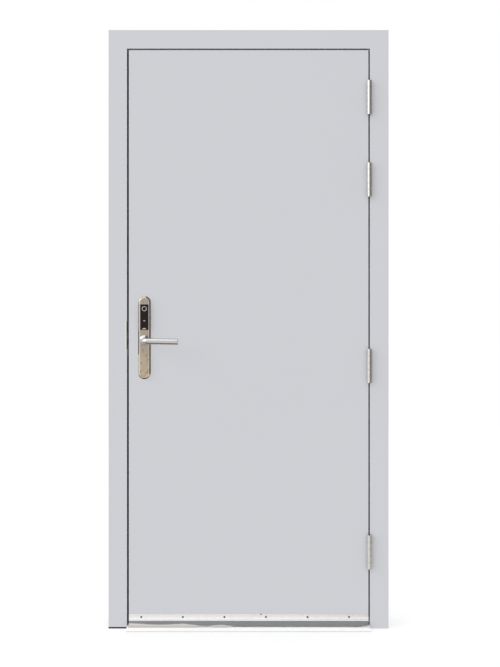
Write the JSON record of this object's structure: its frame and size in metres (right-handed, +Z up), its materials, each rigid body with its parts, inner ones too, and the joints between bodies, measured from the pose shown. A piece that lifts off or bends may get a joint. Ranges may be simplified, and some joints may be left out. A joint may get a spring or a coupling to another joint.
{
  "type": "fire rated door",
  "caption": "Flush painted steel fire door in its pressed steel frame, on butt hinges, with a keyless lever lock, door bottom sweep and metal threshold.",
  "frame": {"origin": "floor level, on the underside of the threshold, midway between the jambs, in the plane of the frame's front face", "axes": "+X from the lock side to the hinge side, +Y from the viewer into the room behind, +Z up"},
  "size_m": [1.05, 0.2173, 2.244],
  "materials": {
    "frame_paint": "light grey satin paint over pressed steel",
    "leaf_paint": "light grey satin paint over sheet steel",
    "threshold_steel": "brushed, bright on its front edge",
    "core_board": "pale core board",
    "plain_steel": "plain zinc-grey steel",
    "satin_steel": "satin",
    "hinge_steel": "satin, brushed along the leaf",
    "satin_nickel": "satin nickel, warm",
    "lever_steel": "satin",
    "reader_black": "glossy black",
    "sweep_aluminium": "bright mill finish",
    "sweep_rubber": "dark grey",
    "seal_rubber": "black"
  },
  "bodies": {
    "frame": {"strike_jamb": "frame_paint", "hinge_jamb": "frame_paint", "head": "frame_paint", "threshold": "threshold_steel", "strike_plate": "satin_steel", "strike_box": "plain_steel", "seal_strike": "seal_rubber", "seal_hinge": "seal_rubber", "seal_head": "seal_rubber", "hinge_1_frame_leaf": "hinge_steel", "hinge_2_frame_leaf": "hinge_steel", "hinge_3_frame_leaf": "hinge_steel", "hinge_4_frame_leaf": "hinge_steel"},
    "door_leaf": {"leaf_front_skin": "leaf_paint", "leaf_back_skin": "leaf_paint", "leaf_core": "core_board", "leaf_top_channel": "leaf_paint", "leaf_bottom_channel": "leaf_paint", "hinge_reinforcements": "plain_steel", "lock_case": "plain_steel", "lock_front_plate": "satin_steel", "latch_bolt": "satin_steel", "dead_bolt": "satin_steel", "outside_lock_plate": "satin_nickel", "reader_panel": "reader_black", "inside_lock_plate": "satin_nickel", "sweep_carrier": "sweep_aluminium", "sweep_lip": "sweep_rubber", "hinge_1_door_leaf": "hinge_steel", "hinge_2_door_leaf": "hinge_steel", "hinge_3_door_leaf": "hinge_steel", "hinge_4_door_leaf": "hinge_steel"},
    "lever_handle": {"outside_lever": "lever_steel", "inside_lever": "lever_steel", "spindle": "plain_steel"}
  },
  "joints": [
    {"name": "door_swing", "type": "hinge", "parent": "frame", "child": "door_leaf", "pos_m": [0.4525, -0.0095, 1.1], "axis": [0, 0, 1], "range_deg": [0, 170]},
    {"name": "lever_turn", "type": "hinge", "parent": "door_leaf", "child": "lever_handle", "pos_m": [-0.389, 0, 1.078], "axis": [0, 1, 0], "range_deg": [0, 45], "stiffness_Nm_per_rad": 1.2, "springref_deg": -57.3}
  ]
}
